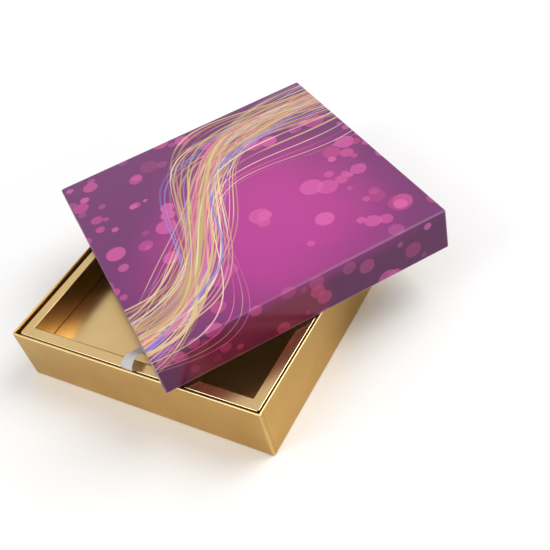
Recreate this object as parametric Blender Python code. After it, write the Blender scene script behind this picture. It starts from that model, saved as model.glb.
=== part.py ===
"""Two-piece gift box: a gold-wrapped base with a lift-out folded card insert and a ribbon pull,
and a printed lid that lies turned across the rim.

Metres, +Z up, +X to the right and +Y to the back. The origin is under the centre of the base.
An outline of a wall is given as (inset, height): inset is the distance in from the outer face.
"""

import math

import bmesh
import bpy
from mathutils import Matrix, Vector

# Box sizes
BASE_SIDE = 0.2000
BASE_HEIGHT = 0.0425
LID_HEIGHT = 0.0310
LID_PLAY = 0.0009

# How the lid lies across the base
LID_TURN = math.radians(54.8)
LID_SHIFT_X = 0.0123
LID_SHIFT_Y = 0.0371

# Stock thicknesses, glue lines and clearances
BOARD = 0.0010
PAPER = 0.00015
TAPE = 0.0001
CARD = 0.0004
GLUE = 0.0001
GAP = 0.0003
SEAM = 0.0003
MITRE = 0.0001
OVERRUN = 0.0010

# Wrapping paper
CORNER_RADIUS = 0.0016
EDGE_RADIUS = 0.0004
LID_FOLD = 0.0007
LEAST_RADIUS = 0.0001
TURN_IN = 0.0240
TURN_UNDER = 0.0150
SHEET_INSET = 0.0020
LINER_INSET = 0.0010

# Corner tapes
TAPE_LEG = 0.0120
TAPE_MARGIN = 0.0030

# Folded card insert
SLIT = 0.0017
LEDGE = 0.0079
INSERT_CORNER = 0.0018
LEDGE_DROP = 0.0019
RECESS_DEPTH = 0.0179
FOLD_RADIUS = 0.0005
FLAP = 0.0120
PAD = 0.0008
PAD_PLAY = 0.0005

# Ribbon pull and the patch of tape that holds its tail
RIBBON_WIDTH = 0.0100
RIBBON = 0.0003
RIBBON_TAIL = 0.0200
RIBBON_BEND = 0.0045
RIBBON_RISE = 0.0059
RIBBON_LEAN = 0.0056
RIBBON_DIP = 0.0005
RIBBON_REACH = 0.0300
RIBBON_TWIST = math.radians(12)
PATCH_SIDE = 0.0140

# Where the ribbon's knots lie along its rise, lean, twist, reach and fall
LIP_RISE_SHARE = 0.27
LIP_LEAN_SHARE = -0.12
LIP_TWIST_SHARE = 0.33
SHOULDER_RISE_SHARE = 0.75
SHOULDER_LEAN_SHARE = 0.24
SHOULDER_TWIST_SHARE = 0.75
BROW_WAY_SHARE = 0.60
BROW_FALL_SHARE = 0.27
BROW_TWIST_SHARE = 0.83
PASS_TWIST_SHARE = 0.17
SAG_REACH_SHARE = 0.50
SAG_FALL_SHARE = 0.34

# Facets of one round corner, of one fold and of the ribbon
CORNER_STEPS = 4
FOLD_STEPS = 4
RIBBON_STEPS = 8

# A side wall is paper, taped board and paper again
SKIN_GAP = TAPE + 2 * GLUE
BOARD_INSET = PAPER + SKIN_GAP
CAVITY_INSET = BOARD_INSET + BOARD
WALL = CAVITY_INSET + GLUE + PAPER
LID_SIDE = BASE_SIDE + 2 * LID_PLAY + 2 * WALL

# Heights of the layers under the insert, and of the insert itself
UNDER_LEVEL = PAPER + GLUE
BOARD_LEVEL = UNDER_LEVEL + PAPER + GLUE
FLOOR_LEVEL = BOARD_LEVEL + BOARD
LINER_LEVEL = FLOOR_LEVEL + GLUE
INSERT_LEVEL = LINER_LEVEL + PAPER + GAP
BOARD_RIM = PAPER + GLUE
INSERT_INSET = WALL + SLIT
RECESS_INSET = INSERT_INSET + LEDGE
LEDGE_LEVEL = BASE_HEIGHT - LEDGE_DROP - INSERT_LEVEL
PAD_LEVEL = LEDGE_LEVEL - RECESS_DEPTH - PAD
FLAP_LEVEL = PAD_LEVEL - GLUE

GOLD = (0.72, 0.53, 0.27)
GOLD_CARD = (0.78, 0.66, 0.42)
PURPLE = (0.36, 0.10, 0.33)
GREYBOARD = (0.42, 0.38, 0.33)
WHITE_PAPER = (0.86, 0.84, 0.80)
KRAFT = (0.60, 0.45, 0.28)
SATIN = (0.80, 0.76, 0.78)
CLEAR_TAPE = (0.82, 0.80, 0.72)


def clear_scene():
    for old in list(bpy.data.objects):
        bpy.data.objects.remove(old)


def material(name, colour, roughness, metallic):
    made = bpy.data.materials.new(name)
    made.use_nodes = True
    shader = made.node_tree.nodes["Principled BSDF"]
    shader.inputs["Base Color"].default_value = (*colour, 1)
    shader.inputs["Roughness"].default_value = roughness
    shader.inputs["Metallic"].default_value = metallic
    made.diffuse_color = (*colour, 1)
    return made


def empty(name, location, turn=0):
    holder = bpy.data.objects.new(name, None)
    holder.location = location
    holder.rotation_euler = (0, 0, turn)
    bpy.context.scene.collection.objects.link(holder)
    return holder


def finished(bm, name, holder, colour, roughness=0.5, metallic=0.0):
    """Turns the bmesh into an object that sits in its holder's frame."""
    bmesh.ops.recalc_face_normals(bm, faces=bm.faces)
    mesh = bpy.data.meshes.new(name)
    bm.to_mesh(mesh)
    bm.free()
    mesh.shade_smooth()
    mesh.set_sharp_from_angle(angle=math.radians(40))
    piece = bpy.data.objects.new(name, mesh)
    piece.data.materials.append(material(name, colour, roughness, metallic))
    piece.parent = holder
    bpy.context.scene.collection.objects.link(piece)
    return piece


def cut_away(piece, bm, name):
    """Cuts the closed shapes of the bmesh out of the piece."""
    cutter = finished(bm, name, piece.parent, KRAFT)
    cutter.hide_render = True
    cutter.display_type = "WIRE"
    boolean = piece.modifiers.new(name, "BOOLEAN")
    boolean.operation = "DIFFERENCE"
    boolean.solver = "EXACT"
    boolean.object = cutter


def rounded_square(side, inset, height, radius):
    """Points of a square loop, its corners concentric with those of the outer face."""
    turn = max(radius - inset, LEAST_RADIUS)
    middle = side / 2 - inset - turn
    points = []
    for corner in range(4):
        along = math.radians(45 + 90 * corner)
        centre_x = math.copysign(middle, math.cos(along))
        centre_y = math.copysign(middle, math.sin(along))
        for step in range(CORNER_STEPS + 1):
            angle = math.pi / 2 * (corner + step / CORNER_STEPS)
            x = centre_x + turn * math.cos(angle)
            y = centre_y + turn * math.sin(angle)
            points.append((x, y, height))
    return points


def swept_square(side, outline, closed, radius=CORNER_RADIUS):
    """Carries an outline of (inset, height) points round a square box.

    A closed outline makes a ring. An open one makes a tray, with both its ends capped.
    """
    bm = bmesh.new()
    loops = []
    for inset, height in outline:
        square = rounded_square(side, inset, height, radius)
        loops.append([bm.verts.new(point) for point in square])
    pairs = list(zip(loops, loops[1:]))
    if closed:
        pairs.append((loops[-1], loops[0]))
    for lower, upper in pairs:
        for i in range(len(lower)):
            j = (i + 1) % len(lower)
            bm.faces.new((lower[i], lower[j], upper[j], upper[i]))
    if not closed:
        bm.faces.new(loops[0])
        bm.faces.new(loops[-1])
    return bm


def rounded_path(path, radii):
    """Replaces each square corner inside the path with an arc of its radius."""
    points = [path[0]]
    for before, corner, after, radius in zip(path, path[1:], path[2:], radii):
        corner = Vector(corner)
        back = (Vector(before) - corner).normalized()
        ahead = (Vector(after) - corner).normalized()
        centre = corner + (back + ahead) * radius
        for step in range(FOLD_STEPS + 1):
            angle = math.pi / 2 * step / FOLD_STEPS
            arm = ahead * math.cos(angle) + back * math.sin(angle)
            points.append(tuple(centre - arm * radius))
    points.append(path[-1])
    return points


def folded_sheet(path, thickness, radii):
    """Both faces of a sheet that is folded along a square-cornered path.

    The path is the face on the left as one walks it, and the thickness lies on the right.
    """
    headings = [(Vector(b) - Vector(a)).normalized() for a, b in zip(path, path[1:])]
    rights = [Vector((heading.y, -heading.x)) for heading in headings]
    back = [Vector(path[0]) + rights[0] * thickness]
    for corner, first, second in zip(path[1:], rights, rights[1:]):
        back.append(Vector(corner) + (first + second) * thickness)
    back.append(Vector(path[-1]) + rights[-1] * thickness)
    front_radii = []
    back_radii = []
    for first, second, radius in zip(headings, headings[1:], radii):
        turns_right = first.cross(second) < 0
        front_radii.append(radius if turns_right else radius - thickness)
        back_radii.append(radius - thickness if turns_right else radius)
    front = rounded_path(path, front_radii)
    back = rounded_path([tuple(point) for point in back], back_radii)
    return front, back


def add_block(bm, low, high, turn=0.0):
    """Adds a closed block between two corners, turned about the upright axis through the origin."""
    low = Vector(low)
    high = Vector(high)
    made = bmesh.ops.create_cube(bm, size=1)["verts"]
    bmesh.ops.scale(bm, vec=high - low, verts=made)
    bmesh.ops.translate(bm, vec=(low + high) / 2, verts=made)
    bmesh.ops.rotate(bm, matrix=Matrix.Rotation(turn, 3, "Z"), verts=made)


def corner_slits(side, inner, outer, bottom, top, width=SEAM):
    """Four narrow blocks on the diagonals, from one inset to another."""
    bm = bmesh.new()
    near = (side / 2 - inner) * math.sqrt(2)
    far = (side / 2 - outer) * math.sqrt(2)
    for corner in range(4):
        turn = math.radians(45 + 90 * corner)
        add_block(bm, (near, -width / 2, bottom), (far, width / 2, top), turn)
    return bm


def board_tray(name, holder, side, height, upside_down):
    """One scored greyboard blank: its four walls fold up from the floor and stay apart at the seams."""
    if upside_down:
        floor = height - PAPER - GLUE
        rim = BOARD_RIM
        inside = floor - BOARD
    else:
        floor = BOARD_LEVEL
        rim = height - BOARD_RIM
        inside = floor + BOARD
    outline = [(BOARD_INSET, floor), (BOARD_INSET, rim), (CAVITY_INSET, rim), (CAVITY_INSET, inside)]
    tray = finished(swept_square(side, outline, False), name, holder, GREYBOARD, 0.9)
    slits = bmesh.new()
    outer = side / 2
    wall_face = side / 2 - CAVITY_INSET
    beyond = rim - OVERRUN if upside_down else rim + OVERRUN
    for across in (-1, 1):
        for along in (-1, 1):
            xs = sorted((across * (wall_face - SEAM), across * outer))
            ys = sorted((along * (wall_face - SEAM), along * wall_face))
            zs = sorted((inside, beyond))
            add_block(slits, (xs[0], ys[0], zs[0]), (xs[1], ys[1], zs[1]))
    cut_away(tray, slits, name + "_seams")


def corner_tapes(name, holder, side, bottom, top):
    """Tape folded round each upright corner, outside the board and under the wrap."""
    ends = ("back_right", "back_left", "front_left", "front_right")
    outer = PAPER + GLUE
    half = side / 2
    for corner, end in enumerate(ends):
        outline = []
        for inset in (outer, outer + TAPE):
            face = half - inset
            radius = CORNER_RADIUS - inset
            leg_end = half - outer - TAPE_LEG
            points = [(face, leg_end)]
            for step in range(CORNER_STEPS + 1):
                angle = math.pi / 2 * step / CORNER_STEPS
                x = half - CORNER_RADIUS + radius * math.cos(angle)
                y = half - CORNER_RADIUS + radius * math.sin(angle)
                points.append((x, y))
            points.append((leg_end, face))
            outline.append(points)
        loop = outline[0] + outline[1][::-1]
        bm = bmesh.new()
        turn = Matrix.Rotation(math.pi / 2 * corner, 3, "Z")
        lower = [bm.verts.new(turn @ Vector((x, y, bottom))) for x, y in loop]
        upper = [bm.verts.new(turn @ Vector((x, y, top))) for x, y in loop]
        count = len(outline[0])
        for i in range(len(loop)):
            j = (i + 1) % len(loop)
            bm.faces.new((lower[i], lower[j], upper[j], upper[i]))
        for i in range(count - 1):
            a, b = i, i + 1
            c, d = len(loop) - 2 - i, len(loop) - 1 - i
            bm.faces.new((lower[a], lower[b], lower[c], lower[d]))
            bm.faces.new((upper[a], upper[b], upper[c], upper[d]))
        finished(bm, f"{name}_{end}", holder, KRAFT, 0.6)


def base_wrap(holder):
    """Gold paper: turned under the floor, up the side, over the rim and down inside."""
    path = [
        (TURN_UNDER, UNDER_LEVEL),
        (0, UNDER_LEVEL),
        (0, BASE_HEIGHT),
        (WALL, BASE_HEIGHT),
        (WALL, BASE_HEIGHT - TURN_IN),
    ]
    front, back = folded_sheet(path, PAPER, [EDGE_RADIUS] * 3)
    bm = swept_square(BASE_SIDE, front + back[::-1], True)
    wrap = finished(bm, "base_wrap", holder, GOLD, 0.34, 0.9)
    inner_top = BASE_HEIGHT - EDGE_RADIUS - PAPER
    inner_end = BASE_HEIGHT - TURN_IN - OVERRUN
    mitres = corner_slits(BASE_SIDE, WALL + OVERRUN, WALL - PAPER - GLUE / 2, inner_end, inner_top)
    cut_away(wrap, mitres, "base_wrap_inner_mitres")
    bottom = UNDER_LEVEL - OVERRUN
    top = UNDER_LEVEL + PAPER + OVERRUN
    under = corner_slits(BASE_SIDE, TURN_UNDER + OVERRUN, CORNER_RADIUS, bottom, top)
    cut_away(wrap, under, "base_wrap_under_mitres")


def lid_wrap(holder):
    """Printed paper: one sheet over the top and sides, turned in round the lower edge."""
    path = [
        (WALL, TURN_IN),
        (WALL, 0),
        (0, 0),
        (0, LID_HEIGHT),
        (CORNER_RADIUS + LID_FOLD, LID_HEIGHT),
    ]
    front, back = folded_sheet(path, PAPER, [EDGE_RADIUS, EDGE_RADIUS, LID_FOLD])
    bm = swept_square(LID_SIDE, back[::-1] + front, False)
    wrap = finished(bm, "lid_wrap", holder, PURPLE, 0.3)
    bottom = EDGE_RADIUS + PAPER
    top = TURN_IN + OVERRUN
    mitres = corner_slits(LID_SIDE, WALL + OVERRUN, WALL - PAPER - GLUE / 2, bottom, top)
    cut_away(wrap, mitres, "lid_wrap_mitres")


def flat_sheet(name, holder, side, bottom, thickness, colour, roughness, metallic=0.0):
    outline = [(0, bottom), (0, bottom + thickness)]
    finished(swept_square(side, outline, False), name, holder, colour, roughness, metallic)


def insert_frame(holder):
    """One folded card: outer flange, ledge, recess wall and the flap that carries the floor pad.

    The recess walls are glued into a ring, and flange, ledge and flap stay slit along the mitres.
    """
    path = [
        (INSERT_INSET, 0),
        (INSERT_INSET, LEDGE_LEVEL),
        (RECESS_INSET, LEDGE_LEVEL),
        (RECESS_INSET, FLAP_LEVEL),
        (RECESS_INSET + FLAP, FLAP_LEVEL),
    ]
    front, back = folded_sheet(path, CARD, [FOLD_RADIUS] * 3)
    outline = front + back[::-1]
    bm = swept_square(BASE_SIDE, outline, True, INSERT_INSET + INSERT_CORNER)
    frame = finished(bm, "insert_frame", holder, GOLD_CARD, 0.38, 0.9)
    wall_back = RECESS_INSET - CARD
    ledge_mitres = corner_slits(
        BASE_SIDE, wall_back - SEAM, INSERT_INSET - OVERRUN, -OVERRUN, LEDGE_LEVEL + OVERRUN, MITRE
    )
    cut_away(frame, ledge_mitres, "insert_ledge_mitres")
    flap_end = RECESS_INSET + FLAP + OVERRUN
    flap_mitres = corner_slits(
        BASE_SIDE, flap_end, RECESS_INSET + SEAM, FLAP_LEVEL - CARD - OVERRUN, FLAP_LEVEL + OVERRUN
    )
    cut_away(frame, flap_mitres, "insert_flap_mitres")


def lid_edge_at(x):
    """How far back from the base's front face the lid's near wall crosses this x."""
    normal_x = -math.cos(LID_TURN)
    normal_y = -math.sin(LID_TURN)
    reach = LID_SIDE / 2 - (x - LID_SHIFT_X) * normal_x
    return LID_SHIFT_Y + reach / normal_y + BASE_SIDE / 2


def smooth_route(knots):
    """Points read from one smooth curve through the route's knots, each with its roll."""
    points = [Vector(point) for point, roll in knots]
    rolls = [roll for point, roll in knots]
    ends = [2 * points[0] - points[1]] + points + [2 * points[-1] - points[-2]]
    route = []
    for i, (before, start, end, after) in enumerate(zip(ends, ends[1:], ends[2:], ends[3:])):
        span = (end - start).length
        start_slope = (end - before) * span / (span + (start - before).length)
        end_slope = (after - start) * span / (span + (after - end).length)
        for step in range(RIBBON_STEPS):
            t = step / RIBBON_STEPS
            blend = 3 * t**2 - 2 * t**3
            place = start * (1 - blend) + start_slope * (t**3 - 2 * t**2 + t)
            place += end * blend + end_slope * (t**3 - t**2)
            route.append((place, rolls[i] + (rolls[i + 1] - rolls[i]) * blend))
    route.append((points[-1], rolls[-1]))
    return route


def ribbon_route():
    """From the taped tail up the slit, over the ledge, under the lid's edge and down to the floor."""
    slit = -BASE_SIDE / 2 + INSERT_INSET - GAP - RIBBON / 2
    under_lid = -BASE_SIDE / 2 + lid_edge_at(RIBBON_WIDTH / 2) - GAP
    pass_level = BASE_HEIGHT - RIBBON_DIP - INSERT_LEVEL
    rest_level = PAD_LEVEL + PAD + GAP + RIBBON / 2
    crest = slit + RIBBON_LEAN
    crest_level = LEDGE_LEVEL + RIBBON_RISE
    lip_level = LEDGE_LEVEL + RIBBON_RISE * LIP_RISE_SHARE
    shoulder_level = LEDGE_LEVEL + RIBBON_RISE * SHOULDER_RISE_SHARE
    brow = crest + (under_lid - crest) * BROW_WAY_SHARE
    brow_level = crest_level + (pass_level - crest_level) * BROW_FALL_SHARE
    sag_level = pass_level + (rest_level - pass_level) * SAG_FALL_SHARE
    return smooth_route([
        ((0, slit, LEDGE_LEVEL - RIBBON_TAIL), 0),
        ((0, slit, LEDGE_LEVEL - RIBBON_BEND), 0),
        ((0, slit + RIBBON_LEAN * LIP_LEAN_SHARE, lip_level), RIBBON_TWIST * LIP_TWIST_SHARE),
        (
            (0, slit + RIBBON_LEAN * SHOULDER_LEAN_SHARE, shoulder_level),
            RIBBON_TWIST * SHOULDER_TWIST_SHARE,
        ),
        ((0, crest, crest_level), RIBBON_TWIST),
        ((0, brow, brow_level), RIBBON_TWIST * BROW_TWIST_SHARE),
        ((0, under_lid, pass_level), RIBBON_TWIST * PASS_TWIST_SHARE),
        ((0, under_lid + RIBBON_REACH * SAG_REACH_SHARE, sag_level), 0),
        ((0, under_lid + RIBBON_REACH, rest_level), 0),
    ])


def ribbon_pull(holder):
    """Satin ribbon: a thin strip carried along its route, rolled a little where it passes the lid."""
    route = ribbon_route()
    bm = bmesh.new()
    rings = []
    for i, (point, roll) in enumerate(route):
        ahead = route[min(i + 1, len(route) - 1)][0] - route[max(i - 1, 0)][0]
        across = Matrix.Rotation(-roll, 3, ahead.normalized()) @ Vector((1, 0, 0))
        up = across.cross(ahead).normalized()
        ring = []
        for side, face in ((-1, -1), (1, -1), (1, 1), (-1, 1)):
            place = point + across * RIBBON_WIDTH / 2 * side + up * RIBBON / 2 * face
            ring.append(bm.verts.new(place))
        rings.append(ring)
    for near, far in zip(rings, rings[1:]):
        for i in range(4):
            j = (i + 1) % 4
            bm.faces.new((near[i], near[j], far[j], far[i]))
    bm.faces.new(rings[0])
    bm.faces.new(rings[-1])
    finished(bm, "ribbon_pull", holder, SATIN, 0.4)


def ribbon_patch(holder):
    """Square of tape over the ribbon's tail, on the front of the flange."""
    bm = bmesh.new()
    back = -BASE_SIDE / 2 + INSERT_INSET - GAP - RIBBON - GLUE
    bottom = LEDGE_LEVEL - RIBBON_TAIL
    low = (-PATCH_SIDE / 2, back - TAPE, bottom)
    high = (PATCH_SIDE / 2, back, bottom + PATCH_SIDE)
    add_block(bm, low, high)
    finished(bm, "ribbon_patch", holder, CLEAR_TAPE, 0.3)


def build_base(holder):
    base_wrap(holder)
    board_tray("base_board", holder, BASE_SIDE, BASE_HEIGHT, False)
    tape_bottom = BOARD_LEVEL + TAPE_MARGIN
    tape_top = BASE_HEIGHT - BOARD_RIM - TAPE_MARGIN
    corner_tapes("base_corner_tape", holder, BASE_SIDE, tape_bottom, tape_top)
    sheet_side = BASE_SIDE - 2 * SHEET_INSET
    flat_sheet("base_bottom_sheet", holder, sheet_side, 0, PAPER, GOLD, 0.4, 0.9)
    liner_side = BASE_SIDE - 2 * (CAVITY_INSET + LINER_INSET)
    flat_sheet("base_liner", holder, liner_side, LINER_LEVEL, PAPER, WHITE_PAPER, 0.8)


def build_insert(holder):
    insert_frame(holder)
    pad_side = BASE_SIDE - 2 * (RECESS_INSET + PAD_PLAY)
    flat_sheet("insert_floor", holder, pad_side, PAD_LEVEL, PAD, GOLD_CARD, 0.38, 0.9)
    ribbon_pull(holder)
    ribbon_patch(holder)


def build_lid(holder):
    lid_wrap(holder)
    board_tray("lid_board", holder, LID_SIDE, LID_HEIGHT, True)
    tape_bottom = BOARD_RIM + TAPE_MARGIN
    tape_top = LID_HEIGHT - BOARD_RIM - TAPE_MARGIN
    corner_tapes("lid_corner_tape", holder, LID_SIDE, tape_bottom, tape_top)
    liner_side = LID_SIDE - 2 * (CAVITY_INSET + LINER_INSET)
    ceiling = LID_HEIGHT - PAPER - GLUE - BOARD
    flat_sheet("lid_liner", holder, liner_side, ceiling - GLUE - PAPER, PAPER, WHITE_PAPER, 0.8)


clear_scene()
build_base(empty("base_foot", (0, 0, 0)))
build_insert(empty("insert_lift", (0, 0, INSERT_LEVEL)))
build_lid(empty("lid_lift", (LID_SHIFT_X, LID_SHIFT_Y, BASE_HEIGHT + GAP), LID_TURN))
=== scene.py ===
"""Looks of the two-piece gift box: gold paper base, folded gold card insert with a satin ribbon pull,
and a glossy printed lid that lies turned across the rim. Metres, +Z up, the base's centre at the origin.
"""

import math

import bpy
from mathutils import Matrix, Vector


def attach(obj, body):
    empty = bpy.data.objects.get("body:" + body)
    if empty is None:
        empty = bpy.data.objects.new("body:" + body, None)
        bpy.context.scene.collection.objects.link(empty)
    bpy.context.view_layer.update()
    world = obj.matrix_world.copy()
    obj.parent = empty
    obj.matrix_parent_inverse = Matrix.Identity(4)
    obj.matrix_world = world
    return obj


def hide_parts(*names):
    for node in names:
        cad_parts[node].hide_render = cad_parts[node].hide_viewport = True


# Box sizes, as in the part's source
BASE_SIDE = 0.2000
BASE_HEIGHT = 0.0425
LID_SIDE = 0.2052
LID_HEIGHT = 0.0310
LID_FOOT = 0.0428
LID_SHIFT = (0.0123, 0.0371)
LID_TURN = math.radians(54.8)
WALL = 0.0017
CORNER_RADIUS = 0.0016
INSERT_INSET = 0.0034
RECESS_INSET = 0.0113
LEDGE_TOP = 0.0406
BASE_HALF = BASE_SIDE / 2
LID_HALF = LID_SIDE / 2
INSERT_HALF = BASE_HALF - INSERT_INSET
RECESS_HALF = BASE_HALF - RECESS_INSET

# The ribbon's cut, the rise of its middle, the slant of its free end, and its mesh
RIBBON_WIDTH = 0.0100
RIBBON_THICKNESS = 0.0003
RIBBON_CROWN = 0.0003
RIBBON_SLANT = 0.0018
RIBBON_STEPS = 24
RIBBON_CELLS = 14

# Its route, up through the slit, over the ledge and down to the pad: y, z and roll in degrees
RIBBON_KNOTS = (
    (-0.09705, 0.02060, 0.0),
    (-0.09705, 0.03610, 0.0),
    (-0.09772, 0.04219, 4.0),
    (-0.09571, 0.04503, 9.0),
    (-0.09145, 0.04650, 12.0),
    (-0.08675, 0.04529, 10.0),
    (-0.08361, 0.04200, 2.0),
    (-0.07350, 0.03670, 0.0),
    (-0.06560, 0.02790, 0.0),
    (-0.05930, 0.02350, 0.0),
    (-0.05150, 0.02300, 0.0),
)

# Where one paper laps the next at an upright corner: its run up to the bend, its rise off the face,
# its length past the bend, its margin at the folds, how deep it is seated, and its mesh
LAP_RUN = 0.0060
LAP_RISE = 0.00012
LAP_PAST = 0.0010
LAP_MARGIN = 0.0006
LAP_SEAT = 0.00004
LAP_RUN_STEPS = 3
LAP_BEND_STEPS = 8
LAP_CORNERS = (
    ("front_left", (-1, -1)),
    ("front_right", (1, -1)),
    ("back_right", (1, 1)),
    ("back_left", (-1, 1)),
)

# Edges that meet at less than this angle are shaded as one smooth face
SMOOTH_ANGLE = math.radians(40)

# Gold finishes: colour, its deeper clouds, the lighter colour of its streaks and painted highlights,
# roughness
GOLD_PAPER = ((0.71, 0.44, 0.125), (0.64, 0.385, 0.10), (1.00, 0.88, 0.52), 0.30)
GOLD_CARD = ((0.66, 0.47, 0.215), (0.63, 0.44, 0.195), (0.98, 0.86, 0.62), 0.24)

# Their clouds and fine upright streaks: how fine, between which levels, and what the streaks change
GOLD_CLOUD = 22
GOLD_CLOUD_LEVELS = (0.35, 0.68)
GOLD_STREAK = 500
GOLD_STREAK_STRETCH = (1, 1, 0.05)
GOLD_STREAK_LEVELS = (0.3, 0.8)
GOLD_STREAK_SHARE = 0.03
GOLD_STREAK_ROUGHNESS = 0.04

# Painted highlights along the creases: width, shares of it where they fade out sideways and upwards,
# strength
RIM_HIGHLIGHT = 0.0005
CARD_HIGHLIGHT = 0.0004
HIGHLIGHT_FADE = (0.65, 0.35)
HIGHLIGHT_FADE_UP = (0.65, 0.40)
HIGHLIGHT_SHARE = 0.85
CORNER_HIGHLIGHT = 0.0009
CORNER_HIGHLIGHT_FADE = 0.4
CORNER_HIGHLIGHT_SHARE = 0.35

# The painted shadow beside a lap's cut edge, and the painted highlight where the card's cut ends meet
LAP_SHADE = 0.0005
LAP_SHADE_FADE = (0.7, 0.3)
LAP_SHADE_SHARE = 0.6
SHADOW_BROWN = (0.16, 0.075, 0.02)
MITRE_HIGHLIGHT_WIDTH = 0.0003
MITRE_HIGHLIGHT_FADE = 0.3
MITRE_HIGHLIGHT_SHARE = 0.6

# How far under an outer face a point may lie and still be on it
FACE_SKIN = 0.0003

# Rounded edges: each falls by this times the square of the way past its start, and reaches a band deep
RIM_CROWN = 580.0
RIM_BAND = 0.0008
LEDGE_ROLL = 0.0009
LEDGE_FALL = 600.0
LEDGE_BAND = 0.0006
LID_ROLL = 0.0016
LID_FALL = 260.0

# Slow waves and fine fibre of a paper: scale, depth, strength
GOLD_WAVE = (14, 0.0005, 0.5)
GOLD_FIBRE = (2600, 0.00002, 0.3)
LID_WAVE = (22, 0.0003, 0.4)
LID_FIBRE = (2400, 0.00001, 0.25)

# Plain finishes: colour, roughness, grain, depth of the grain
GREYBOARD = ((0.36, 0.33, 0.29), 0.9, 1400, 0.00005)
WHITE_PAPER = ((0.58, 0.555, 0.515), 0.7, 2200, 0.00002)
KRAFT_TAPE = ((0.50, 0.36, 0.21), 0.6, 1800, 0.00002)
CLEAR_TAPE = ((0.78, 0.76, 0.68), 0.25, 900, 0.00001)

# Their grain and coarser flecks: between which levels, how strong and how dark
GRAIN_LEVELS = (0.35, 0.7)
GRAIN_DARK = 0.8
GRAIN_STRENGTH = 0.6
FLECK_SCALE = 0.35
FLECK_LEVELS = (0.66, 0.74)
FLECK_SHARE = 0.5
FLECK_DARK = 0.55

# Satin: its threads across and along, their levels and relief, and its woven edges
SATIN_THREADS = (9000, 500, 1)
SATIN_LEVELS = (0.3, 0.7)
SATIN_RELIEF = (0.00003, 0.5)
SELVEDGE = 0.0006
SELVEDGE_FADE = 0.7
SATIN_DARK = (0.78, 0.755, 0.765)
SATIN_LIGHT = (0.92, 0.90, 0.91)
SATIN_SELVEDGE = (0.72, 0.69, 0.70)
SATIN_FACE = {
    "Roughness": 0.34,
    "Specular IOR Level": 0.7,
    "Subsurface Weight": 0.7,
    "Subsurface Radius": (1.0, 0.97, 0.97),
    "Subsurface Scale": 0.002,
    "Sheen Weight": 0.9,
    "Sheen Roughness": 0.35,
}

# The lid's ground colours: the glow on its top, the rest of the top, the sides, darker than the top as
# painted shade, and their crimson part
PRINT_GLOW = (0.46, 0.034, 0.270)
PRINT_GROUND = (0.150, 0.018, 0.125)
PRINT_SIDE_SHADED = (0.115, 0.015, 0.092)
PRINT_CRIMSON = (0.205, 0.016, 0.055)

# Where they lie on the paper laid flat, how far out each gives way to the next, and the clouds that
# blur the glow's edge
GLOW_PLACE = (0.010, -0.036, 0.0)
GLOW_REACH = (0.045, 0.140)
CRIMSON_PLACE = (-0.038, -0.118, 0.0)
CRIMSON_REACH = (0.062, 0.036)
SIDE_START = 0.004
SIDE_FULL = 0.012
PRINT_CLOUD = 14
GLOW_CLOUD = 0.05

# The laminate's gloss
PRINT_FACE = {
    "Roughness": 0.45,
    "Specular IOR Level": 0.2,
    "Coat Weight": 0.4,
    "Coat Roughness": 0.14,
}

# How deep the wrap's top, its outer face and its walls with the turned-in paper reach
WRAP_TOP = 0.0015
WRAP_OUTSIDE = 0.0010
WRAP_WALLS = 0.0030

# Worn edges, partly a painted highlight: where the lighter colour starts and is full, in from the edge,
# and its strength
WEAR_AND_HIGHLIGHT_TINT = (0.78, 0.52, 0.62)
OUTER_WEAR_AND_HIGHLIGHT = (0.0009, 0.0006)
FOOT_WEAR_AND_HIGHLIGHT = (0.0009, 0.0003, 0.55)
CORNER_WEAR_AND_HIGHLIGHT = (0.0013, 0.0005, 0.30)
FOLD_WEAR_AND_HIGHLIGHT = (0.0008, 0.0003, 0.07)

# The painted highlight band along a fold: colour, width, depth, and its strengths between two places
# along the edge
FOLD_HIGHLIGHT_TINT = (0.62, 0.62, 0.80)
SHEEN_WIDTH = 0.0022
SHEEN_EDGE = 0.3
SHEEN_BAND = 0.0005
SHEEN_FADE = (-0.055, 0.045, 0.02, 0.085)

# Dots: cell size, largest radius in cells, density, shift
DOT_LAYERS = (
    (0.039, 0.22, 0.66, (0.013, 0.041, 0)),
    (0.036, 0.22, 0.52, (0.107, 0.010, 0)),
    (0.031, 0.22, 0.56, (0.061, 0.155, 0)),
    (0.026, 0.22, 0.34, (0.212, 0.092, 0)),
    (0.017, 0.20, 0.16, (0.037, 0.083, 0)),
)
DOT_PINK = (0.72, 0.120, 0.420)
DOT_ROSE = (0.50, 0.050, 0.200)
DOT_CRIMSON = (0.58, 0.050, 0.160)

# How the dots crowd: off their cells' middles, in patches, and less inside one distance than past another
DOT_SCATTER = 0.55
DOT_CROWD = 17
DOT_CROWD_SWING = 2.4
DOT_CLEAR_MIDDLE = (0.045, 0.100, -0.22, 0.26)
DOT_KEPT_STEP = 0.02

# How they differ: the smallest's share of the largest, soft edge and strength as the least and what
# chance adds, and the brighter rim
DOT_SMALLEST = 0.55
DOT_BLUR = (0.012, 0.02)
DOT_SHARE = (0.20, 0.55)
DOT_RIM = 0.80
DOT_RIM_SHARE = 0.12

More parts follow.
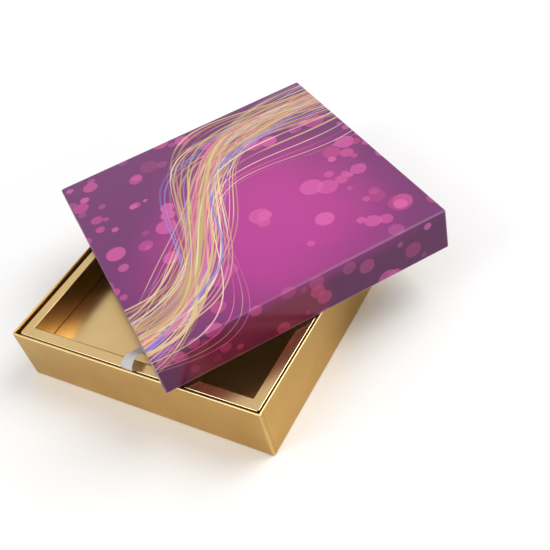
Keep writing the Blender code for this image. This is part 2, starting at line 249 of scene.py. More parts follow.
# Bundles of fine lines: middle, slope, swing, wavelength, phase, half width, pinch, beat, beat phase,
# count, line half width, seed
SWEEP_TURN = math.radians(-30)
STRAND_BUNDLES = (
    (0.012, 0.00, 0.036, 0.300, 0.5, 0.0220, 0.50, 0.190, 0.4, 18, 0.00060, 1.0),
    (0.006, 0.06, 0.031, 0.270, 0.8, 0.0240, 0.55, 0.150, 2.1, 14, 0.00080, 2.0),
    (0.014, -0.05, 0.040, 0.320, 0.3, 0.0170, 0.60, 0.230, 3.4, 12, 0.00090, 3.0),
    (0.000, 0.04, 0.029, 0.255, 1.1, 0.0290, 0.45, 0.165, 5.0, 12, 0.00055, 4.0),
    (0.018, -0.02, 0.044, 0.290, 0.7, 0.0130, 0.65, 0.130, 1.2, 9, 0.00080, 5.0),
    (0.008, 0.02, 0.034, 0.285, 0.6, 0.0100, 0.60, 0.110, 4.2, 5, 0.00120, 6.0),
)
STRAND_INKS = (
    (0.00, (0.56, 0.34, 0.13)),
    (0.32, (0.72, 0.50, 0.25)),
    (0.58, (0.86, 0.70, 0.46)),
    (0.69, (0.74, 0.12, 0.32)),
    (0.84, (0.24, 0.22, 0.64)),
    (0.95, (0.50, 0.44, 0.16)),
)

# How the lines drift apart, and how they differ: thickness and strength as the least and what chance
# adds, the most of its lane that a line fills, its soft edge, and where a bundle ends
STRAND_SEED_STEP = 7.3
STRAND_DRIFT = (3.1, 0.16)
STRAND_THICKNESS = (0.55, 0.9)
STRAND_SHARE = (0.55, 0.45)
STRAND_WIDEST = 0.46
STRAND_BLUR = 0.00018
STRAND_BOUND = 0.96

# How each line fades and comes back along its run
STRAND_FADE = 16
STRAND_FADE_STEP = 0.37
STRAND_FADE_LEVELS = (0.30, 0.52, 0.25, 1.0)

# The table: its size, how far it lies under the box, its greys in the light and in the picture,
# and where it fades to white
TABLE_SIDE = 8
TABLE_DROP = 0.00005
TABLE_LIT = (0.80, 0.80, 0.80)
TABLE_SEEN = (0.99, 0.99, 0.99)
TABLE_FADE = (0.25, 0.90)
TABLE_FACE = {"Roughness": 0.9, "Specular IOR Level": 0.2, "Emission Color": (1, 1, 1, 1)}

# Soft lights: name, place, size and brightness of the face; where they aim; and the even light all
# round, with what is added to it where it is seen
SOFTBOXES = (
    ("key_light", (0.68, 0.68, 1.15), 1.15, 3.8),
    ("fill_light", (-0.50, -0.95, 0.90), 0.9, 2.4),
)
LIGHT_AIM = (0.02, 0.02, 0.04)
SKY_LIGHT = 0.55
SKY_SEEN = 0.45

# Camera, from the photograph's vanishing lines
CAMERA_PLACE = (0.30756, -0.30228, 0.41709)
CAMERA_YAW = -0.6906
CAMERA_DIP = 0.755
CAMERA_ROLL = -0.284
LENS = 53.19
SENSOR = 36.0
NEAREST = 0.01
FARTHEST = 50


def put(tree, kind, sockets=None, **settings):
    """Adds a shader node, sets its options, and joins or fills its input sockets."""
    made = tree.nodes.new(kind)
    for name, value in settings.items():
        setattr(made, name, value)
    for name, value in (sockets or {}).items():
        if isinstance(value, bpy.types.NodeSocket):
            tree.links.new(value, made.inputs[name])
        else:
            made.inputs[name].default_value = value
    return made


def sum_of(tree, operation, first, second=0.0, third=0.0, clamp=False):
    """One step of arithmetic between sockets or numbers."""
    sockets = {0: first, 1: second, 2: third}
    return put(tree, "ShaderNodeMath", sockets, operation=operation, use_clamp=clamp).outputs[0]


def times(tree, first, second):
    return sum_of(tree, "MULTIPLY", first, second)


def times_plus(tree, first, second, third, clamp=False):
    return sum_of(tree, "MULTIPLY_ADD", first, second, third, clamp)


def less(tree, value, taken):
    return sum_of(tree, "SUBTRACT", value, taken)


def unsigned(tree, value):
    return sum_of(tree, "ABSOLUTE", value)


def gap(tree, value, level):
    """How far a value is from a level, on either side."""
    return unsigned(tree, less(tree, value, level))


def above(tree, value, level):
    """One where a value is past a level, else nought."""
    return sum_of(tree, "GREATER_THAN", value, level)


def ramp(tree, value, low, high, start=0.0, end=1.0):
    """Eases from start to end while the value goes from low to high."""
    sockets = {"Value": value, "From Min": low, "From Max": high, "To Min": start, "To Max": end}
    return put(tree, "ShaderNodeMapRange", sockets, interpolation_type="SMOOTHSTEP").outputs[0]


def tint(tree, share, under, over):
    """Lays one colour over another."""
    made = put(tree, "ShaderNodeMix", data_type="RGBA")
    for socket, value in zip((made.inputs[0], made.inputs[6], made.inputs[7]), (share, under, over)):
        if isinstance(value, bpy.types.NodeSocket):
            tree.links.new(value, socket)
        else:
            socket.default_value = value if socket is made.inputs[0] else (*value, 1)
    return made.outputs[2]


def noise(tree, place, scale, detail=2.0, roughness=0.5, stretch=None):
    """Cloudy variation, finer as the scale grows, drawn out where stretch says."""
    if stretch:
        place = put(tree, "ShaderNodeMapping", {"Vector": place, "Scale": stretch}).outputs[0]
    sockets = {"Vector": place, "Scale": scale, "Detail": detail, "Roughness": roughness}
    return put(tree, "ShaderNodeTexNoise", sockets).outputs["Fac"]


def bump(tree, height, depth, strength=1.0, normal=None):
    sockets = {"Height": height, "Distance": depth, "Strength": strength}
    if normal:
        sockets["Normal"] = normal
    return put(tree, "ShaderNodeBump", sockets).outputs[0]


def paper_face(tree, place, wave, rolled, fibre):
    """The paper's relief: slow waves, the edges that roll over, and fine fibre."""
    scale, depth, strength = wave
    relief = bump(tree, noise(tree, place, scale, 1), depth, strength)
    relief = bump(tree, rolled, 1.0, 1.0, relief)
    scale, depth, strength = fibre
    return bump(tree, noise(tree, place, scale, 2, 0.6), depth, strength, relief)


def axes_of(tree, place):
    return put(tree, "ShaderNodeSeparateXYZ", {"Vector": place}).outputs


def reaches(tree, axes):
    """How far out a point is, towards its own side and towards the side round the corner."""
    across, along = unsigned(tree, axes[0]), unsigned(tree, axes[1])
    return sum_of(tree, "MAXIMUM", across, along), sum_of(tree, "MINIMUM", across, along)


def offset(tree, place, spot):
    return put(tree, "ShaderNodeVectorMath", {0: place, 1: spot}, operation="SUBTRACT").outputs[0]


def length_of(tree, vector):
    return put(tree, "ShaderNodeVectorMath", {0: vector}, operation="LENGTH").outputs["Value"]


def finish_named(name):
    """A new material: its tree, its shader and the object's own coordinates."""
    made = bpy.data.materials.new(name)
    made.use_nodes = True
    tree = made.node_tree
    place = put(tree, "ShaderNodeTexCoord").outputs["Object"]
    return made, tree, tree.nodes["Principled BSDF"], place


def join(tree, value, shader, socket):
    tree.links.new(value, shader.inputs[socket])


def fill(shader, values):
    for socket, value in values.items():
        shader.inputs[socket].default_value = value


def dress(finish, *nodes):
    """Gives CAD nodes their finish."""
    for name in nodes:
        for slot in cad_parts[name].material_slots:
            slot.material = finish


def crease_highlight(tree, place, half, top, width):
    """Where a highlight is painted along the fold at the outer edge of a level top."""
    axes = axes_of(tree, place)
    most, _ = reaches(tree, axes)
    within = ramp(tree, gap(tree, most, half - width / 2), *(width * share for share in HIGHLIGHT_FADE))
    level = ramp(tree, gap(tree, axes[2], top - width / 2), *(width * share for share in HIGHLIGHT_FADE_UP))
    return times(tree, within, level)


def upright_corner_highlight(tree, place, half):
    """Where a highlight is painted down each upright corner."""
    _, least = reaches(tree, axes_of(tree, place))
    return ramp(tree, least, half - CORNER_HIGHLIGHT, half - CORNER_HIGHLIGHT * CORNER_HIGHLIGHT_FADE)


def lap_shadow(tree, place, half):
    """A painted shadow: the fine dark line beside the cut edge of each corner lap, on the side faces."""
    axes = axes_of(tree, place)
    edge = half - CORNER_RADIUS - LAP_PAST - LAP_SHADE / 2
    off = gap(tree, unsigned(tree, axes[1]), edge)
    line = ramp(tree, off, *(LAP_SHADE * share for share in LAP_SHADE_FADE))
    return times(tree, line, above(tree, unsigned(tree, axes[0]), half - FACE_SKIN))


def rim_swell(tree, place, half):
    """Height of the paper over the board's cut edge: it is crowned across the rim, not flat."""
    axes = axes_of(tree, place)
    most, _ = reaches(tree, axes)
    off = sum_of(tree, "MINIMUM", gap(tree, most, half - WALL / 2), WALL / 2)
    swell = times(tree, times(tree, off, off), -RIM_CROWN)
    return times(tree, swell, above(tree, axes[2], BASE_HEIGHT - RIM_BAND))


def ledge_roll(tree, place):
    """Height of the card where it rolls over from the ledge into the recess."""
    axes = axes_of(tree, place)
    most, _ = reaches(tree, axes)
    past = sum_of(tree, "MINIMUM", less(tree, RECESS_HALF + LEDGE_ROLL, most), LEDGE_ROLL)
    past = sum_of(tree, "MAXIMUM", 0.0, past)
    fall = times(tree, times(tree, past, past), -LEDGE_FALL)
    return times(tree, fall, above(tree, axes[2], LEDGE_TOP - LEDGE_BAND))


def ledge_mitre_highlight(tree, place):
    """Where a highlight is painted along the seam across each corner of the ledge, where the folded
    card's cut ends meet.
    """
    axes = axes_of(tree, place)
    off = gap(tree, unsigned(tree, axes[0]), unsigned(tree, axes[1]))
    seam = ramp(tree, off, MITRE_HIGHLIGHT_WIDTH, MITRE_HIGHLIGHT_WIDTH * MITRE_HIGHLIGHT_FADE)
    return times(tree, seam, above(tree, axes[2], LEDGE_TOP - FACE_SKIN))


def gold_paper(name, look, half, top, highlight_width, lapped):
    """Metallised paper or card: brushed fibre under a satin gold film, with painted highlights along its
    folds; the base also has a painted shadow beside each corner lap.
    """
    made, tree, shader, place = finish_named(name)
    colour, deep, streak_and_highlight, roughness = look
    streak = noise(tree, place, GOLD_STREAK, 2, 0.6, GOLD_STREAK_STRETCH)
    base = tint(tree, ramp(tree, noise(tree, place, GOLD_CLOUD, 3), *GOLD_CLOUD_LEVELS), deep, colour)
    base = tint(tree, ramp(tree, streak, *GOLD_STREAK_LEVELS, 0.0, GOLD_STREAK_SHARE), base, streak_and_highlight)
    # Painted highlight along the fold at the top's outer edge
    base = tint(tree, times(tree, crease_highlight(tree, place, half, top, highlight_width), HIGHLIGHT_SHARE), base, streak_and_highlight)
    if lapped:
        # Painted highlight down the upright corners
        corner_highlight = times(tree, upright_corner_highlight(tree, place, half), CORNER_HIGHLIGHT_SHARE)
        base = tint(tree, corner_highlight, base, streak_and_highlight)
        # Painted shadow beside each lap's cut edge
        base = tint(tree, times(tree, lap_shadow(tree, place, half), LAP_SHADE_SHARE), base, SHADOW_BROWN)
        rolled = rim_swell(tree, place, half)
    else:
        # Painted highlight along the ledge's mitre seams
        base = tint(tree, times(tree, ledge_mitre_highlight(tree, place), MITRE_HIGHLIGHT_SHARE), base, streak_and_highlight)
        rolled = ledge_roll(tree, place)
    join(tree, base, shader, "Base Color")
    least_rough = roughness - GOLD_STREAK_ROUGHNESS / 2
    join(tree, times_plus(tree, streak, GOLD_STREAK_ROUGHNESS, least_rough), shader, "Roughness")
    fill(shader, {"Metallic": 1.0})
    join(tree, paper_face(tree, place, GOLD_WAVE, rolled, GOLD_FIBRE), shader, "Normal")
    return made


def plain_paper(name, look):
    """Uncoated board, paper or tape: flecked fibre with a dry face."""
    made, tree, shader, place = finish_named(name)
    colour, roughness, grain, depth = look
    fibre = noise(tree, place, grain, 4, 0.65)
    fleck = noise(tree, place, grain * FLECK_SCALE, 2, 0.7)
    darker, darkest = (tuple(c * share for c in colour) for share in (GRAIN_DARK, FLECK_DARK))
    base = tint(tree, ramp(tree, fibre, *GRAIN_LEVELS), darker, colour)
    base = tint(tree, ramp(tree, fleck, *FLECK_LEVELS, 0.0, FLECK_SHARE), base, darkest)
    join(tree, base, shader, "Base Color")
    fill(shader, {"Roughness": roughness})
    join(tree, bump(tree, fibre, depth, GRAIN_STRENGTH), shader, "Normal")
    return made


def satin():
    """Satin: fine threads along the ribbon, and a duller woven edge on each side."""
    made, tree, shader, _ = finish_named("satin_ribbon")
    uv = put(tree, "ShaderNodeTexCoord").outputs["UV"]
    thread = noise(tree, uv, 1.0, 2, 0.6, SATIN_THREADS)
    off = gap(tree, axes_of(tree, uv)[0], RIBBON_WIDTH / 2)
    edge = RIBBON_WIDTH / 2
    selvedge = ramp(tree, off, edge - SELVEDGE, edge - SELVEDGE * SELVEDGE_FADE)
    base = tint(tree, ramp(tree, thread, *SATIN_LEVELS), SATIN_DARK, SATIN_LIGHT)
    join(tree, tint(tree, selvedge, base, SATIN_SELVEDGE), shader, "Base Color")
    fill(shader, SATIN_FACE)
    join(tree, bump(tree, thread, *SATIN_RELIEF), shader, "Normal")
    return made


def lid_place(tree, place):
    """The lid's own coordinates, and its wrap laid flat: each side turned up level with the top."""
    mapping = put(tree, "ShaderNodeMapping", {"Vector": place}, vector_type="TEXTURE")
    mapping.inputs["Location"].default_value = (*LID_SHIFT, LID_FOOT)
    mapping.inputs["Rotation"].default_value = (0, 0, LID_TURN)
    axes = axes_of(tree, mapping.outputs[0])
    across, along = unsigned(tree, axes[0]), unsigned(tree, axes[1])
    most = sum_of(tree, "MAXIMUM", across, along)
    topside = above(tree, axes[2], LID_HEIGHT - WRAP_TOP)
    outside = sum_of(tree, "MAXIMUM", topside, above(tree, most, LID_HALF - WRAP_OUTSIDE))
    walled = above(tree, most, LID_HALF - WRAP_WALLS)
    down = times(tree, outside, less(tree, LID_HEIGHT, axes[2]))
    turned_in = times(tree, less(tree, 1.0, outside), sum_of(tree, "ADD", LID_HEIGHT, axes[2]))
    depth = times(tree, sum_of(tree, "ADD", down, turned_in), walled)
    on_side = above(tree, across, along)
    flat = []
    for axis, share in ((axes[0], on_side), (axes[1], less(tree, 1.0, on_side))):
        step = times(tree, times(tree, depth, share), sum_of(tree, "SIGN", axis))
        flat.append(sum_of(tree, "ADD", axis, step))
    return axes, flat[0], flat[1]


def soft_dots(tree, flat, warm, under, layer):
    """Scatters see-through discs of several sizes, redder where it is warm, each with a brighter rim."""
    cell, largest, density, shift = layer
    moved = put(tree, "ShaderNodeMapping", {"Vector": flat, "Location": shift}).outputs[0]
    sockets = {"Vector": moved, "Scale": 1 / cell, "Randomness": DOT_SCATTER}
    cells = put(tree, "ShaderNodeTexVoronoi", sockets, voronoi_dimensions="2D").outputs
    chance = put(tree, "ShaderNodeSeparateColor", {"Color": cells["Color"]}).outputs
    middle = offset(tree, cells["Position"], shift)
    crowd = times_plus(tree, noise(tree, middle, DOT_CROWD, 1), DOT_CROWD_SWING, -DOT_CROWD_SWING / 2)
    crowd = sum_of(tree, "ADD", crowd, ramp(tree, length_of(tree, middle), *DOT_CLEAR_MIDDLE))
    drawn = sum_of(tree, "ADD", chance["Green"], crowd)
    kept = ramp(tree, drawn, 1 - density, 1 - density + DOT_KEPT_STEP)
    radius = times_plus(tree, chance["Red"], largest * (1 - DOT_SMALLEST), largest * DOT_SMALLEST)
    least_blur, more_blur = DOT_BLUR
    blur = times_plus(tree, chance["Blue"], more_blur, least_blur)
    disc = times(tree, kept, ramp(tree, less(tree, radius, cells["Distance"]), 0, blur))
    rim = times(tree, disc, ramp(tree, cells["Distance"], times(tree, radius, DOT_RIM), radius))
    least_share, more_share = DOT_SHARE
    share = times(tree, disc, times_plus(tree, chance["Blue"], more_share, least_share))
    share = times_plus(tree, rim, DOT_RIM_SHARE, share, clamp=True)
    hue = tint(tree, chance["Green"], DOT_ROSE, DOT_PINK)
    return tint(tree, share, under, tint(tree, warm, hue, DOT_CRIMSON))


def strand_ink(tree, chance):
    """One of the inks, drawn by chance."""
    inks = put(tree, "ShaderNodeValToRGB", {"Fac": chance})
    inks.color_ramp.interpolation = "CONSTANT"
    while len(inks.color_ramp.elements) < len(STRAND_INKS):
        inks.color_ramp.elements.new(1.0)
    for stop, (start, ink) in zip(inks.color_ramp.elements, STRAND_INKS):
        stop.position = start
        stop.color = (*ink, 1)
    return inks.outputs["Color"]


def strand_bundle(tree, along, across, under, bundle):
    """Fine lines that sweep side by side, and draw together and part as they go."""
    middle, slope, swing, wave, phase, half, pinch, beat, beat_phase, count, width, seed = bundle
    curve = sum_of(tree, "SINE", times_plus(tree, along, math.tau / wave, phase))
    curve = times_plus(tree, curve, swing, times_plus(tree, along, slope, middle))
    breath = sum_of(tree, "SINE", times_plus(tree, along, math.tau / beat, beat_phase))
    spread = times_plus(tree, breath, half * pinch, half)
    lane = sum_of(tree, "DIVIDE", less(tree, across, curve), spread)
    drift_beat, drift = STRAND_DRIFT
    lane = times_plus(tree, sum_of(tree, "SINE", times_plus(tree, lane, drift_beat, seed)), drift, lane)
    numbered = times(tree, lane, count / 2)
    number = sum_of(tree, "FLOOR", numbered)
    off = gap(tree, sum_of(tree, "FRACT", numbered), 0.5)
    picked = sum_of(tree, "ADD", number, seed * STRAND_SEED_STEP)
    pick = put(tree, "ShaderNodeTexWhiteNoise", {"W": picked}, noise_dimensions="1D").outputs["Color"]
    chance = put(tree, "ShaderNodeSeparateColor", {"Color": pick}).outputs
    fine = times(tree, spread, 2 / count)
    least_thick, more_thick = STRAND_THICKNESS
    thick = times(tree, times_plus(tree, chance["Red"], more_thick, least_thick), width)
    thick = sum_of(tree, "MINIMUM", sum_of(tree, "DIVIDE", thick, fine), STRAND_WIDEST)
    line = ramp(tree, less(tree, thick, off), 0, sum_of(tree, "DIVIDE", STRAND_BLUR, fine))
    bound = ramp(tree, unsigned(tree, lane), 1.0, STRAND_BOUND)
    sockets = {"X": along, "Y": times(tree, number, STRAND_FADE_STEP)}
    run = put(tree, "ShaderNodeCombineXYZ", sockets).outputs[0]
    fade = ramp(tree, noise(tree, run, STRAND_FADE, 1), *STRAND_FADE_LEVELS)
    least_share, more_share = STRAND_SHARE
    share = times(tree, times(tree, line, bound), fade)
    share = times(tree, share, times_plus(tree, chance["Green"], more_share, least_share))
    return tint(tree, share, under, strand_ink(tree, chance["Blue"]))


def lid_wear_and_highlight(tree, axes):
    """Where the print is worn lighter, partly a painted highlight: the lower edge most, then the upright
    corners and the top folds.
    """
    most, least = reaches(tree, axes)
    outer = ramp(tree, most, *(LID_HALF - inset for inset in OUTER_WEAR_AND_HIGHLIGHT))
    start, full, foot_share = FOOT_WEAR_AND_HIGHLIGHT
    foot = times(tree, times(tree, outer, ramp(tree, axes[2], start, full)), foot_share)
    start, full, corner_share = CORNER_WEAR_AND_HIGHLIGHT
    corner = times(tree, ramp(tree, least, LID_HALF - start, LID_HALF - full), corner_share)
    start, full, fold_share = FOLD_WEAR_AND_HIGHLIGHT
    fold = times(tree, outer, ramp(tree, axes[2], LID_HEIGHT - start, LID_HEIGHT - full))
    wear_and_highlight = sum_of(tree, "MAXIMUM", foot, corner)
    return sum_of(tree, "MAXIMUM", wear_and_highlight, times(tree, fold, fold_share))


def painted_fold_highlight(tree, axes):
    """A painted highlight: the band along two edges of the top, more to one end."""
    edge = LID_HALF - SHEEN_WIDTH
    band = ramp(tree, unsigned(tree, axes[1]), edge, edge + SHEEN_WIDTH * SHEEN_EDGE)
    band = times(tree, band, above(tree, axes[2], LID_HEIGHT - SHEEN_BAND))
    return times(tree, band, ramp(tree, axes[0], *SHEEN_FADE))


def lid_roll(tree, axes):
    """Height of the wrap where it rolls softly over from the lid's top to its sides."""
    most, _ = reaches(tree, axes)
    fall = 0.0
    for level, edge in ((most, LID_HALF), (axes[2], LID_HEIGHT)):
        past = sum_of(tree, "MAXIMUM", 0.0, less(tree, level, edge - LID_ROLL))
        fall = times_plus(tree, times(tree, past, past), -LID_FALL, fall)
    return fall


def printed_lid():
    """Glossy laminated print: a magenta glow on purple, soft dots and sweeping fine lines."""
    made, tree, shader, place = finish_named("printed_gloss_paper")
    axes, u, v = lid_place(tree, place)
    flat = put(tree, "ShaderNodeCombineXYZ", {"X": u, "Y": v}).outputs[0]
    glow = length_of(tree, offset(tree, flat, GLOW_PLACE))
    glow = times_plus(tree, noise(tree, flat, PRINT_CLOUD, 2), GLOW_CLOUD, glow)
    colour = tint(tree, ramp(tree, glow, *GLOW_REACH), PRINT_GLOW, PRINT_GROUND)
    far = sum_of(tree, "MAXIMUM", unsigned(tree, u), unsigned(tree, v))
    side = ramp(tree, far, LID_HALF - SIDE_START, LID_HALF + SIDE_FULL)
    warm = ramp(tree, length_of(tree, offset(tree, flat, CRIMSON_PLACE)), *CRIMSON_REACH)
    # The sides get a darker ground than the top as painted shade, with crimson print in part
    colour = tint(tree, side, colour, tint(tree, warm, PRINT_SIDE_SHADED, PRINT_CRIMSON))
    warm = times(tree, side, warm)
    for layer in DOT_LAYERS:
        colour = soft_dots(tree, flat, warm, colour, layer)
    sweep = put(tree, "ShaderNodeMapping", {"Vector": flat, "Rotation": (0, 0, SWEEP_TURN)}).outputs[0]
    swept = axes_of(tree, sweep)
    for bundle in STRAND_BUNDLES:
        colour = strand_bundle(tree, swept[0], swept[1], colour, bundle)
    # Painted highlight along two edges of the top
    colour = tint(tree, painted_fold_highlight(tree, axes), colour, FOLD_HIGHLIGHT_TINT)
    # Lighter where the edges wear, partly a painted highlight
    colour = tint(tree, lid_wear_and_highlight(tree, axes), colour, WEAR_AND_HIGHLIGHT_TINT)
    join(tree, colour, shader, "Base Color")
    fill(shader, PRINT_FACE)
    join(tree, paper_face(tree, place, LID_WAVE, lid_roll(tree, axes), LID_FIBRE), shader, "Normal")
    return made


def smooth_route():
    """Points of one smooth curve through the ribbon's knots, each with its roll."""
    points = [Vector((0, y, z)) for y, z, roll in RIBBON_KNOTS]
    rolls = [math.radians(roll) for y, z, roll in RIBBON_KNOTS]
    ends = [2 * points[0] - points[1]] + points + [2 * points[-1] - points[-2]]
    route = []
    for i, (before, start, end, after) in enumerate(zip(ends, ends[1:], ends[2:], ends[3:])):
        span = (end - start).length
        start_slope = (end - before) * span / (span + (start - before).length)
        end_slope = (after - start) * span / (span + (after - end).length)
        for step in range(RIBBON_STEPS):
            t = step / RIBBON_STEPS
            blend = 3 * t**2 - 2 * t**3
            place = start * (1 - blend) + start_slope * (t**3 - 2 * t**2 + t)
            place += end * blend + end_slope * (t**3 - t**2)
            route.append((place, rolls[i] + (rolls[i + 1] - rolls[i]) * blend))
    route.append((points[-1], rolls[-1]))
    return route


def new_grid(name, columns, rows):
    """A flat mesh, to be shaped point by point. Its points come row by row."""
    bpy.ops.mesh.primitive_grid_add(x_subdivisions=columns, y_subdivisions=rows, size=1)
    made = bpy.context.object
    made.name = made.data.name = name
    return made


def lay_threads(strip, lengths):
    """The ribbon's own map: across its width and along its length, in metres."""
    uv = strip.data.uv_layers[0]
    for corner in strip.data.loops:
        row, column = divmod(corner.vertex_index, RIBBON_CELLS + 1)
        uv.data[corner.index].uv = (column / RIBBON_CELLS * RIBBON_WIDTH, lengths[row])


def ribbon(finish):
    """Satin ribbon: a strip carried along its route, crowned across its width, with a slanted end."""
    route = smooth_route()
    strip = new_grid("ribbon_satin", RIBBON_CELLS, len(route) - 1)
    length = 0.0
    lengths = [length]
    for (start, _), (end, _) in zip(route, route[1:]):
        length += (end - start).length
        lengths.append(length)
    lay_threads(strip, lengths)
    points = iter(strip.data.vertices)
    last = len(route) - 1
    for i, (middle, roll) in enumerate(route):
        ahead = (route[min(i + 1, last)][0] - route[max(i - 1, 0)][0]).normalized()
        across = Matrix.Rotation(-roll, 3, ahead) @ Vector((1, 0, 0))
        up = across.cross(ahead)
        crown = RIBBON_CROWN * min(1.0, max(0.0, (i - RIBBON_STEPS) / RIBBON_STEPS))
        slant = RIBBON_SLANT * max(0.0, (i - last) / RIBBON_STEPS + 1.0)
        for column in range(RIBBON_CELLS + 1):
            side = 2 * column / RIBBON_CELLS - 1
            sideways = across * RIBBON_WIDTH / 2 * side
            next(points).co = middle + sideways + up * crown * (1 - side**2) + ahead * slant * side
    solid = strip.modifiers.new("cloth_thickness", "SOLIDIFY")
    solid.thickness = RIBBON_THICKNESS
    solid.offset = 0
    bpy.ops.object.modifier_apply(modifier=solid.name)
    bpy.ops.object.shade_smooth_by_angle(angle=SMOOTH_ANGLE)
    strip.data.materials.append(finish)
    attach(strip, "insert")
    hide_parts("ribbon_pull")
    strip.select_set(False)


def lap_outline(half, side_x, side_y):
    """Along the front or back face to the corner, round its bend, and a little way down the side face."""
    points = []
    straight = half - CORNER_RADIUS
    for step in range(LAP_RUN_STEPS):
        share = step / LAP_RUN_STEPS
        points.append((straight - LAP_RUN * (1 - share), half + LAP_RISE * share))
    reach = CORNER_RADIUS + LAP_RISE
    for step in range(LAP_BEND_STEPS + 1):
        angle = math.pi / 2 * (1 - step / LAP_BEND_STEPS)
        points.append((straight + reach * math.cos(angle), straight + reach * math.sin(angle)))
    points.append((half + LAP_RISE, straight - LAP_PAST))
    return [(x * side_x, y * side_y) for x, y in points]


def seat_lap(lap, half, place):
    """Thickens the lap inwards, down to just under the face of the wrap that it lies on."""
    bpy.ops.object.mode_set(mode="EDIT")
    bpy.ops.mesh.select_all(action="SELECT")
    bpy.ops.mesh.extrude_region_move()
    bpy.ops.object.mode_set(mode="OBJECT")
    straight = half - CORNER_RADIUS
    for point in lap.data.vertices:
        if point.select:
            x, y, z = place.inverted() @ point.co
            foot = Vector((max(-straight, min(straight, x)), max(-straight, min(straight, y)), z))
            outward = (Vector((x, y, z)) - foot).normalized()
            point.co = place @ (foot + outward * (CORNER_RADIUS - LAP_SEAT))
    bpy.ops.object.mode_set(mode="EDIT")
    bpy.ops.mesh.select_all(action="SELECT")
    bpy.ops.mesh.normals_make_consistent(inside=False)
    bpy.ops.object.mode_set(mode="OBJECT")


def paper_lap(name, half, sides, height, place, finish, body):
    """A paper's end lapped round an upright corner, feathered on one face and cut short on the next."""
    outline = lap_outline(half, *sides)
    lap = new_grid(name, 1, len(outline) - 1)
    points = iter(lap.data.vertices)
    for x, y in outline:
        for level in (LAP_MARGIN, height - LAP_MARGIN):
            next(points).co = place @ Vector((x, y, level))
    seat_lap(lap, half, place)
    bpy.ops.object.shade_smooth_by_angle(angle=SMOOTH_ANGLE)
    lap.data.materials.append(finish)
    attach(lap, body)
    lap.select_set(False)


def corner_laps(name, half, height, place, finish, body):
    for corner, sides in LAP_CORNERS:
        paper_lap(f"{name}_{corner}", half, sides, height, place, finish, body)


def table_top():
    """A pale table that fades to plain white away from the box."""
    bpy.ops.mesh.primitive_plane_add(size=TABLE_SIDE)
    floor = bpy.context.object
    floor.name = "table_top"
    floor.location = (0, 0, -TABLE_DROP)
    made, tree, shader, place = finish_named("pale_table")
    seen = put(tree, "ShaderNodeLightPath").outputs["Is Camera Ray"]
    join(tree, tint(tree, seen, TABLE_LIT, TABLE_SEEN), shader, "Base Color")
    fill(shader, TABLE_FACE)
    fade = ramp(tree, length_of(tree, place), *TABLE_FADE)
    join(tree, times(tree, seen, fade), shader, "Emission Strength")
    floor.data.materials.append(made)
    floor.select_set(False)


def even_light():
    """A white surround, brighter where the picture or a gloss looks at it than as a light."""
    world = bpy.data.worlds.new("studio")
    bpy.context.scene.world = world
    world.use_nodes = True
    tree = world.node_tree
    path = put(tree, "ShaderNodeLightPath").outputs
    shown = sum_of(tree, "MAXIMUM", path["Is Glossy Ray"], path["Is Transmission Ray"])
    shown = sum_of(tree, "MAXIMUM", shown, path["Is Camera Ray"])
    back = tree.nodes["Background"]
    fill(back, {"Color": (1, 1, 1, 1)})
    join(tree, times_plus(tree, shown, SKY_SEEN, SKY_LIGHT), back, "Strength")


def softbox(name, place, size, brightness):
    """A round soft light that looks at the box, as bright as its face should look."""
    bpy.ops.object.light_add(type="AREA", location=place)
    lamp = bpy.context.object
    lamp.name = lamp.data.name = name
    lamp.data.shape = "DISK"
    lamp.data.size = size
    lamp.data.energy = brightness * math.pi**2 * size**2 / 4
    lamp.rotation_euler = (Vector(LIGHT_AIM) - Vector(place)).to_track_quat("-Z", "Y").to_euler()
    lamp.select_set(False)


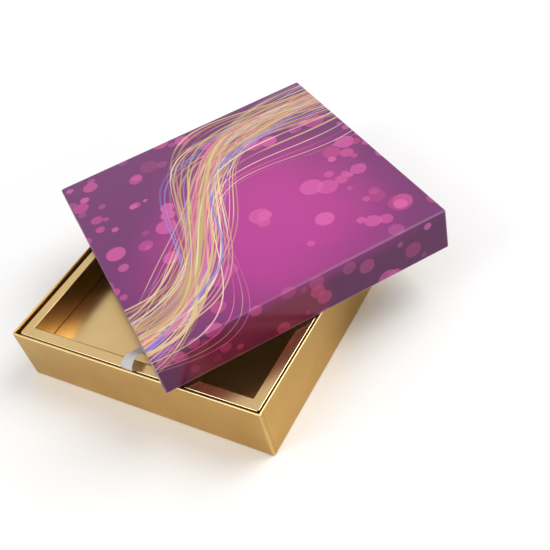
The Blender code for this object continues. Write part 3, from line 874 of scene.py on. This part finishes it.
def camera():
    """The photograph's view: turned by its yaw, dipped, then rolled about the line of sight."""
    forward = Vector((
        math.sin(CAMERA_YAW) * math.cos(CAMERA_DIP),
        math.cos(CAMERA_YAW) * math.cos(CAMERA_DIP),
        -math.sin(CAMERA_DIP),
    ))
    right = Vector((math.cos(CAMERA_YAW), -math.sin(CAMERA_YAW), 0))
    up = right.cross(forward)
    c, s = math.cos(CAMERA_ROLL), math.sin(CAMERA_ROLL)
    x_axis = right * c + up * s
    y_axis = up * c - right * s
    turn = Matrix((x_axis, y_axis, -forward)).transposed().to_4x4()
    data = bpy.data.cameras.new("camera")
    data.lens = LENS
    data.sensor_width = SENSOR
    data.clip_start = NEAREST
    data.clip_end = FARTHEST
    made = bpy.data.objects.new("camera", data)
    made.matrix_world = Matrix.Translation(CAMERA_PLACE) @ turn
    bpy.context.scene.collection.objects.link(made)
    bpy.context.scene.camera = made


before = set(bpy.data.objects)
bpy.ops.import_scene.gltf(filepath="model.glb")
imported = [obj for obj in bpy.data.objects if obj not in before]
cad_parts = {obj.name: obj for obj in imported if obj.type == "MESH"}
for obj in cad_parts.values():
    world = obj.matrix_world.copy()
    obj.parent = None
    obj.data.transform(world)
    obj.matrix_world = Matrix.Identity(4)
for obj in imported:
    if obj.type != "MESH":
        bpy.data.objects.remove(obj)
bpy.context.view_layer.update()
bpy.ops.object.select_all(action="DESELECT")
bpy.context.scene.view_settings.view_transform = "Standard"

base_gold = gold_paper("gold_paper", GOLD_PAPER, BASE_HALF, BASE_HEIGHT, RIM_HIGHLIGHT, lapped=True)
card_gold = gold_paper("gold_card", GOLD_CARD, INSERT_HALF, LEDGE_TOP, CARD_HIGHLIGHT, lapped=False)
print_gloss = printed_lid()
corner_tapes = [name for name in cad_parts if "corner_tape" in name]
dress(base_gold, "base_wrap", "base_bottom_sheet")
dress(card_gold, "insert_frame", "insert_floor")
dress(print_gloss, "lid_wrap")
dress(plain_paper("greyboard", GREYBOARD), "base_board", "lid_board")
dress(plain_paper("white_paper", WHITE_PAPER), "base_liner", "lid_liner")
dress(plain_paper("kraft_tape", KRAFT_TAPE), *corner_tapes)
dress(plain_paper("clear_tape", CLEAR_TAPE), "ribbon_patch")

ribbon(satin())
lid_turned = Matrix.Translation((*LID_SHIFT, LID_FOOT)) @ Matrix.Rotation(LID_TURN, 4, "Z")
corner_laps("base_paper_lap", BASE_HALF, BASE_HEIGHT, Matrix(), base_gold, "base")
corner_laps("lid_paper_lap", LID_HALF, LID_HEIGHT, lid_turned, print_gloss, "lid")

table_top()
even_light()
for light in SOFTBOXES:
    softbox(*light)
camera()
